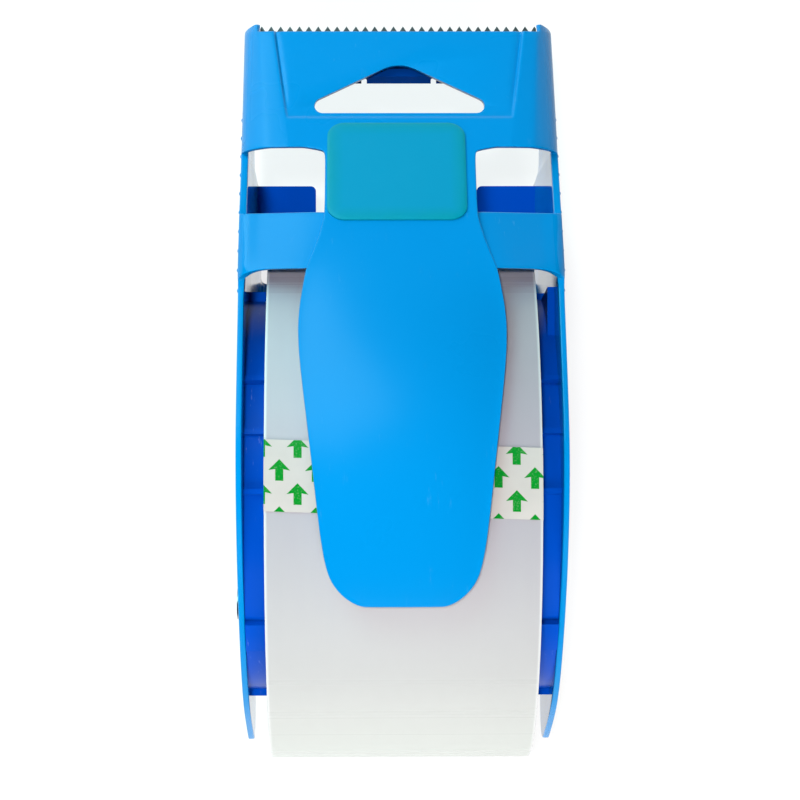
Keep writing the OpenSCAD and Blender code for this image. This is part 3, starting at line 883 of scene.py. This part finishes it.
def film_material(side_colour, face_colour):
    """Wound clear film: fine layer rings on its sides, faint drawn streaks and painted shade on its outer
    face.
    """
    material, w, shader, where = start_material("wound_film")
    shifted = from_roll_axis(w, where)
    x, y, z = w.split(shifted)
    radius = w.math("SQRT", w.plus(w.times(y, y), w.times(z, z)))
    angle = w.math("ARCTAN2", y, z)
    face = w.ramp(radius, (ROLL_R - 0.35) * MM, (ROLL_R - 0.12) * MM)
    rings = w.add("ShaderNodeCombineXYZ", inputs={0: radius, 1: w.times(angle, 0.0008)}).outputs[0]
    layer = w.noise(rings, 5200.0, 4.0, 0.7)
    wide = w.noise(rings, 700.0, 3.0, 0.6)
    side_tone = w.plus(w.times(layer, 0.4), w.times(wide, 0.6))
    side = w.mix(w.ramp(side_tone, 0.35, 0.65), side_colour, (0.5, 0.51, 0.5, 1))
    wrap = w.add("ShaderNodeCombineXYZ", inputs={0: x, 1: w.times(angle, 0.006)}).outputs[0]
    streak = w.noise(wrap, 420.0, 3.0, 0.6)
    cloud = w.noise(shifted, 38.0, 3.0)
    face_tone = w.plus(w.times(streak, 0.5), w.times(cloud, 0.5))
    outer = w.mix(w.ramp(face_tone, 0.2, 0.8), face_colour, (0.325, 0.298, 0.325, 1))
    # Painted shade and light: the film's outer face is painted darker towards the front and top of the roll,
    # where the grip shades it, and whiter towards the back and bottom, where the tail lamp falls; the
    # painting turns with the roll.
    painted_shade_ramp = w.ramp(w.math("COSINE", w.plus(angle, 1.9)), -0.4, 0.85)
    outer = w.mix(painted_shade_ramp, outer, (0.44, 0.462, 0.43, 1))
    rim = w.ramp(w.math("ABSOLUTE", x), (TAPE_HALF - 0.55) * MM, (TAPE_HALF - 0.25) * MM)
    outer = w.mix(w.times(rim, 0.7), outer, (0.55, 0.55, 0.55, 1))
    w.fill(shader, {"Base Color": w.mix(face, side, outer),
                    "Roughness": w.math("MULTIPLY_ADD", face, -0.14, w.ramp(layer, 0.3, 0.7, 0.38, 0.5)),
                    "IOR": 1.49, "Specular IOR Level": 0.32, "Subsurface Weight": 0.15,
                    "Subsurface Radius": (0.004, 0.004, 0.004), "Subsurface Scale": 1.0})
    height = w.plus(w.times(layer, w.minus(1.0, face)), w.times(w.times(streak, face), 0.25))
    bump(w, shader, height, 0.35, 0.0001)
    return material


def make_arrow_group():
    """Small block arrows in rows and columns, which point towards the blade."""
    w, given, out = group_tree(
        "block_arrows",
        [("Across", "NodeSocketFloat", 0.0), ("Along", "NodeSocketFloat", 0.0),
         ("Pitch", "NodeSocketFloat", ARROW_PITCH[0]), ("Rise", "NodeSocketFloat", ARROW_PITCH[1])],
        [("Mask", "NodeSocketFloat")])
    u = w.minus(w.math("FLOORED_MODULO", given["Across"], given["Pitch"]), w.times(given["Pitch"], 0.5))
    v = w.minus(w.math("FLOORED_MODULO", given["Along"], given["Rise"]), w.times(given["Rise"], 0.5))
    u = w.math("ABSOLUTE", u)
    # The head narrows from its barbs to its point, and the barbs sweep back a little.
    head = w.math("LESS_THAN", u, w.times(w.minus(1.86, v), 0.98))
    barb = w.math("GREATER_THAN", v, w.math("MULTIPLY_ADD", u, -0.17, 0.26))
    head = w.times(head, barb)
    stem = w.times(w.math("LESS_THAN", u, 0.7), w.math("LESS_THAN", v, 0.4))
    stem = w.times(stem, w.math("GREATER_THAN", v, -1.85))
    w.feed(out.inputs["Mask"], w.math("MAXIMUM", head, stem))
    return w.tree


def tab_material(paper, ink):
    """White tab printed with rows of green arrows; the ink is thin and lets white specks through."""
    material, w, shader, where = start_material("printed_tab")
    uv = w.add("ShaderNodeUVMap", uv_map="tab").outputs[0]
    x, y = w.split(uv)[:2]
    masks = []
    for share in (0, 0.5):
        across, along = (start + share * pitch for start, pitch in zip(ARROW_START, ARROW_PITCH))
        node = w.group("block_arrows", Across=w.plus(x, across), Along=w.plus(y, along))
        masks.append(node.outputs[0])
    mask = w.math("MAXIMUM", masks[0], masks[1])
    specks = w.ramp(w.noise(where, 4200.0, 2.0), 0.3, 0.42, 0.7, 1.0)
    mask = w.times(mask, specks)
    crease = w.noise(where, 120.0, 3.0)
    sheet = w.mix(w.ramp(crease, 0.35, 0.65), paper, (0.4, 0.36, 0.34, 1))
    w.fill(shader, {"Base Color": w.mix(mask, sheet, ink),
                    "Roughness": w.math("MULTIPLY_ADD", mask, 0.08, 0.3), "Specular IOR Level": 0.25})
    bump(w, shader, crease, 0.2, 0.0001)
    return material


def board_material(colour):
    """Cardboard core: grey-brown fibre with the edges of its spiral winding."""
    material, w, shader, where = start_material("core_board")
    shifted = from_roll_axis(w, where)
    x, y, z = w.split(shifted)
    turn = w.math("MULTIPLY_ADD", w.math("ARCTAN2", y, z), 1 / (2 * math.pi), w.times(x, 1 / 0.062))
    seam = w.math("LESS_THAN", w.math("FRACT", turn), 0.012)
    fibre = w.noise(shifted, 900.0, 5.0, 0.7)
    fleck = w.noise(shifted, 240.0, 3.0)
    base = w.mix(w.ramp(fibre, 0.35, 0.65), colour, (0.3, 0.2, 0.12, 1))
    base = w.mix(w.ramp(fleck, 0.55, 0.75, 0.0, 0.35), base, (0.62, 0.5, 0.36, 1))
    w.fill(shader, {"Base Color": w.mix(w.times(seam, 0.6), base, (0.14, 0.09, 0.05, 1)),
                    "Roughness": w.ramp(fibre, 0.3, 0.7, 0.75, 0.95)})
    bump(w, shader, w.minus(fibre, seam), 0.4, 0.0001)
    return material


def give(ob, material):
    """Makes this the object's only material."""
    ob.data.materials.clear()
    ob.data.materials.append(material)


def floor_material():
    """White floor: the camera sees it near white, and it still takes the shadow."""
    material, w, shader, where = start_material("studio_floor")
    tone = w.noise(where, 3.0, 2.0)
    white = w.mix(w.ramp(tone, 0.3, 0.7), (0.86, 0.86, 0.86, 1), (0.89, 0.89, 0.89, 1))
    w.fill(shader, {"Base Color": white, "Roughness": 0.7, "Specular IOR Level": 0.1})
    glow = w.add("ShaderNodeEmission", inputs={"Color": (1, 1, 1, 1), "Strength": 1.0})
    path = w.add("ShaderNodeLightPath")
    seen = w.math("MAXIMUM", path.outputs["Is Camera Ray"],
                  w.math("MAXIMUM", path.outputs["Is Glossy Ray"], path.outputs["Is Transmission Ray"]))
    both = w.add("ShaderNodeMixShader",
                 inputs={0: w.times(seen, 0.8), 1: shader.outputs[0], 2: glow.outputs[0]})
    out = [n for n in w.tree.nodes if n.type == "OUTPUT_MATERIAL"][0]
    w.feed(out.inputs[0], both.outputs[0])
    return material


def soft_lamp(name, spot, size, power, tint=(1, 1, 1), mirrored=False):
    """An area lamp that faces the object; unless mirrored, it lights without being reflected."""
    data = bpy.data.lights.new(name, "AREA")
    data.shape = "RECTANGLE"
    data.size, data.size_y = size
    data.energy = power
    data.color = tint
    ob = bpy.data.objects.new(name, data)
    bpy.context.scene.collection.objects.link(ob)
    ob.location = spot
    ob.rotation_euler = (Vector((0, 0, 0.05)) - Vector(spot)).to_track_quat("-Z", "Y").to_euler()
    ob.visible_glossy = mirrored


# The photograph's frame and lens in pixels, and the camera's place and aim
FRAME_PIXELS = 800
LENS_PIXELS = 2706
CAMERA_SPOT = (-7.8, 17.8, 513.5)
CAMERA_AIM = (0.2, 17.8, 0)


def make_stage(s):
    """The white floor, the room's light, the lamps and the camera."""
    clean_slate()
    bpy.ops.mesh.primitive_plane_add(size=6.0, location=(0, 0, 0))
    floor = bpy.context.object
    floor.name = "studio_floor"
    give(floor, floor_material())
    world = bpy.data.worlds.new("soft_room")
    world.use_nodes = True
    bpy.context.scene.world = world
    tree = world.node_tree
    tree.nodes.clear()
    w = Wiring(tree)
    back = w.add("ShaderNodeBackground", inputs={"Color": (1, 1, 1, 1), "Strength": s.room_light})
    out = w.add("ShaderNodeOutputWorld")
    w.feed(out.inputs[0], back.outputs[0])
    soft_lamp("overhead_lamp", (-0.07, 0.06, 1.1), (0.07, 0.07), s.overhead_power)
    soft_lamp("side_box", (-0.19, 0.29, 0.28), (0.24, 0.5), s.side_power, tuple(s.side_tint), mirrored=True)
    soft_lamp("tail_lamp", (0.0, -1.1, 0.8), (1.0, 0.8), s.tail_power)
    bpy.context.scene.view_settings.view_transform = "Standard"

    camera = bpy.data.objects.new("photo_camera", bpy.data.cameras.new("photo_camera"))
    bpy.context.scene.collection.objects.link(camera)
    bpy.context.scene.camera = camera
    camera.data.sensor_width = 36
    camera.data.lens = LENS_PIXELS / FRAME_PIXELS * camera.data.sensor_width
    camera.data.clip_start = 0.01
    camera.data.clip_end = 20
    spot = place(*CAMERA_SPOT)
    ahead = (place(*CAMERA_AIM) - spot).normalized()
    up = Vector((math.sin(s.camera_roll), 1, 0))
    right = ahead.cross(up).normalized()
    up = right.cross(ahead)
    turn = Matrix((right, up, -ahead)).transposed().to_4x4()
    camera.matrix_world = Matrix.Translation(spot) @ turn


# ---------------------------------------------------------------- settings
COLOUR = {"subtype": "COLOR", "size": 4, "min": 0, "max": 1}
LENGTH = {"unit": "LENGTH", "precision": 5}
POWER = {"unit": "POWER", "min": 0, "max": 100}


class DispenserSettings(PropertyGroup):
    """The sizes, colours and lamps that a user would change."""

    rim_ease: FloatProperty(
        name="Rim ease", description="Width of the eased rims of the shell",
        **LENGTH, min=0, max=0.0006, default=0.00034)
    panel_sunk: FloatProperty(
        name="Panel depth", description="How deep the hood's panel is sunk",
        **LENGTH, min=0, max=0.001, default=0.0003)
    groove_sunk: FloatProperty(
        name="Groove depth", description="Depth of the grooves beside the panel",
        **LENGTH, min=0, max=0.0015, default=0.00085)
    rib_count: IntProperty(
        name="Side ribs", description="Upright ribs on each wall", min=0, max=20, default=10)
    rib_radius: FloatProperty(
        name="Rib radius", description="Radius of a rib", **LENGTH, min=0.0002, max=0.0008, default=0.0006)
    rib_proud: FloatProperty(
        name="Rib height", description="How far a rib stands out of its wall",
        **LENGTH, min=0, max=0.0004, default=0.00024)
    pad_corner: FloatProperty(
        name="Pad corner", description="Radius of the thumb pad's corners",
        **LENGTH, min=0.001, max=0.006, default=0.0032)
    pad_proud: FloatProperty(
        name="Pad height", description="How far the pad stands out of the neck",
        **LENGTH, min=0, max=0.001, default=0.00055)
    pad_shift: FloatProperty(
        name="Pad shift", description="How far the pad sits off the middle",
        **LENGTH, min=-0.001, max=0.001, default=-0.0007)
    tab_front: FloatProperty(
        name="Tab place", description="Turn of the tab's front edge round the roll",
        subtype="ANGLE", min=-math.pi, max=math.pi, default=math.radians(12))
    tab_skew: FloatProperty(
        name="Tab skew", description="How far round the roll the tab's one side lags",
        subtype="ANGLE", min=-0.1, max=0.1, default=math.radians(1.9))
    shell_blue: FloatVectorProperty(
        name="Shell blue", description="Colour of the moulded shell", **COLOUR, default=srgb(0, 118, 180))
    # Painted shade: the hubs' and guides' blue is a darker, deeper copy of the shell's blue, standing in for
    # the shade that falls inside the frame.
    hub_blue_painted_shade: FloatVectorProperty(
        name="Hub blue", description="Colour of the hubs and guides", **COLOUR, default=srgb(0, 66, 168))
    # Painted shade: the nose plate's navy is a darker copy of the shell's blue, standing in for the shade
    # under the hood.
    painted_shade_navy: FloatVectorProperty(
        name="Nose plate navy", description="Colour of the nose plate", **COLOUR, default=srgb(0, 56, 132))
    pad_teal: FloatVectorProperty(
        name="Pad teal", description="Colour of the thumb pad", **COLOUR, default=srgb(0, 122, 158))
    pad_rim: FloatVectorProperty(
        name="Pad rim", description="Colour of the pad near its rim", **COLOUR, default=srgb(0, 122, 140))
    arrow_green: FloatVectorProperty(
        name="Arrow green", description="Ink of the starting tab", **COLOUR, default=srgb(0, 117, 29))
    room_light: FloatProperty(
        name="Room light", description="Strength of the even light from all sides",
        min=0, max=2, default=0.03)
    overhead_power: FloatProperty(
        name="Overhead lamp", description="Power of the lamp that draws the shadow", **POWER, default=9.0)
    side_power: FloatProperty(
        name="Side box", description="Power of the large lamp at the left", **POWER, default=2.1)
    side_tint: FloatVectorProperty(
        name="Side tint", description="Colour of the large lamp at the left",
        subtype="COLOR", min=0, max=1, default=(0.5, 1.0, 0.99))
    tail_power: FloatProperty(
        name="Tail lamp", description="Power of the lamp behind the roll", **POWER, default=23.0)
    camera_roll: FloatProperty(
        name="Camera roll", description="Turn of the camera about its view",
        subtype="ANGLE", min=-0.1, max=0.1, default=math.radians(0.13))


class DISPENSER_OT_finishes(Operator):
    """Makes the shared finishes and gives the kept CAD pieces theirs"""

    bl_idname = "dispenser.finishes"
    bl_label = "Finishes"
    bl_options = {"REGISTER", "UNDO"}

    def execute(self, context):
        s = context.scene.dispenser_settings
        make_moulding_group()
        make_brush_group()
        make_arrow_group()
        # The hubs and guides get the shell's plastic painted darker, as painted shade for their place inside
        # the frame.
        hub = plastic("hub_plastic", tuple(s.hub_blue_painted_shade), 0.3, flow=0.06, scuffs=0.5, shine=0.1)
        for name in ("left_hub", "right_hub", "left_guide", "right_guide"):
            give(frame["nodes"][name], hub)
        # The nose plate gets the shell's plastic painted navy, as painted shade for its place under the
        # hood.
        give(frame["nodes"]["nose_plate"], plastic("nose_plastic_painted_shade", tuple(s.painted_shade_navy), 0.34, scuffs=0.4))
        give(frame["nodes"]["cutting_blade"], metal("blade_steel", (0.16, 0.165, 0.175, 1), 0.3))
        screws = metal("screw_steel", (0.62, 0.62, 0.64, 1), 0.16)
        for name in ("hub_screws", "guide_screws"):
            give(frame["nodes"][name], screws)
        give(frame["nodes"]["tape_core"], board_material((0.47, 0.34, 0.22, 1)))
        return {"FINISHED"}


class DISPENSER_OT_shell(Operator):
    """Makes the moulded shell that stands for the CAD shell"""

    bl_idname = "dispenser.shell"
    bl_label = "Shell"
    bl_options = {"REGISTER", "UNDO"}

    def execute(self, context):
        s = context.scene.dispenser_settings
        ob = make_shell(s)
        give(ob, plastic("shell_plastic", tuple(s.shell_blue), 0.29, flow=0.03, scuffs=0.12,
                         polished=((WALL_IN - 0.6) * MM, (WALL_IN + 0.3) * MM)))
        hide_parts("top_shell")
        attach(ob, BODY)
        return {"FINISHED"}


class DISPENSER_OT_pad(Operator):
    """Makes the soft thumb pad"""

    bl_idname = "dispenser.pad"
    bl_label = "Thumb pad"
    bl_options = {"REGISTER", "UNDO"}

    def execute(self, context):
        s = context.scene.dispenser_settings
        ob = make_thumb_pad(s)
        give(ob, pad_material(tuple(s.pad_teal), tuple(s.pad_rim), s.pad_shift))
        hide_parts("thumb_pad")
        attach(ob, BODY)
        return {"FINISHED"}


class DISPENSER_OT_roll(Operator):
    """Makes the wound tape and its starting tab"""

    bl_idname = "dispenser.roll"
    bl_label = "Tape roll"
    bl_options = {"REGISTER", "UNDO"}

    def execute(self, context):
        s = context.scene.dispenser_settings
        tape = make_wound_tape()
        give(tape, film_material((0.33, 0.34, 0.35, 1), (0.31, 0.28, 0.318, 1)))
        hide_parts("tape_roll")
        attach(tape, ROLL)
        tab = make_start_tab(s)
        give(tab, tab_material((0.43, 0.385, 0.365, 1), tuple(s.arrow_green)))
        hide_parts("start_tab")
        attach(tab, ROLL)
        return {"FINISHED"}


class DISPENSER_OT_stage(Operator):
    """Sets the floor, the lamps and the camera"""

    bl_idname = "dispenser.stage"
    bl_label = "Stage"
    bl_options = {"REGISTER", "UNDO"}

    def execute(self, context):
        s = context.scene.dispenser_settings
        make_stage(s)
        return {"FINISHED"}


class DISPENSER_PT_panel(Panel):
    """Lists the steps and the settings"""

    bl_label = "Packing Tape Dispenser"
    bl_idname = "DISPENSER_PT_panel"
    bl_space_type = "VIEW_3D"
    bl_region_type = "UI"
    bl_category = "Dispenser"

    def draw(self, context):
        s = context.scene.dispenser_settings
        for name in s.__annotations__:
            self.layout.prop(s, name)
        for step in STEPS:
            self.layout.operator(step.bl_idname)


STEPS = (DISPENSER_OT_stage, DISPENSER_OT_finishes, DISPENSER_OT_shell, DISPENSER_OT_pad, DISPENSER_OT_roll)
CLASSES = (DispenserSettings, *STEPS, DISPENSER_PT_panel)


def register():
    for cls in CLASSES:
        bpy.utils.register_class(cls)
    bpy.types.Scene.dispenser_settings = PointerProperty(type=DispenserSettings)


def unregister():
    del bpy.types.Scene.dispenser_settings
    for cls in reversed(CLASSES):
        bpy.utils.unregister_class(cls)


def main():
    register()
    bpy.ops.dispenser.stage()
    bpy.ops.dispenser.finishes()
    bpy.ops.dispenser.shell()
    bpy.ops.dispenser.pad()
    bpy.ops.dispenser.roll()
    clean_slate()


if __name__ == "__main__":
    main()
